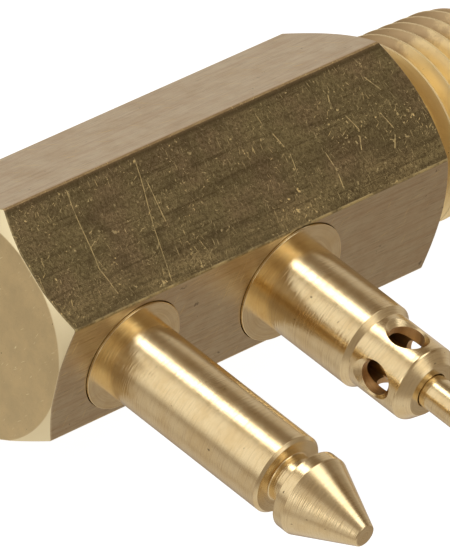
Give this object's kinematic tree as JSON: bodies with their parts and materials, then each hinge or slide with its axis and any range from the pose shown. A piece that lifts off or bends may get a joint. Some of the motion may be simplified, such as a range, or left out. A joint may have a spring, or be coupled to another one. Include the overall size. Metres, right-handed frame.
{
  "type": "two-prong male fuel line quick-connect fitting",
  "caption": "Hexagonal brass fitting with a taper pipe thread, a grooved guide pin and a hollow valve prong with a sprung stem, for a quick-connect fuel line.",
  "frame": {"origin": "centre of the blank end face, on the axis of the hexagonal bar", "axes": "+X along the bar from the blank end towards the thread; the prongs point along -Y; +Z through a corner of the hexagon"},
  "size_m": [0.0477, 0.0374, 0.0184],
  "materials": {
    "bar_brass": "aged drawn bar, dull, with fine lengthwise lines",
    "turned_brass": "bright turned, with fine lathe lines",
    "spring_steel": "drawn stainless wire",
    "seal_rubber": "moulded, matt"
  },
  "bodies": {
    "fitting": {"hex_body": "bar_brass", "guide_pin": "turned_brass", "valve_sleeve": "turned_brass", "spring_retainer": "turned_brass", "sleeve_o_ring": "seal_rubber", "return_spring": "spring_steel"},
    "stem": {"valve_stem": "turned_brass", "poppet_o_ring": "seal_rubber"}
  },
  "joints": [
    {"name": "stem_push", "type": "slide", "parent": "fitting", "child": "stem", "axis": [0, 1, 0], "range_m": [0, 0.003], "stiffness_N_per_m": 500, "springref_m": -0.004, "deforming": ["return_spring"]}
  ]
}
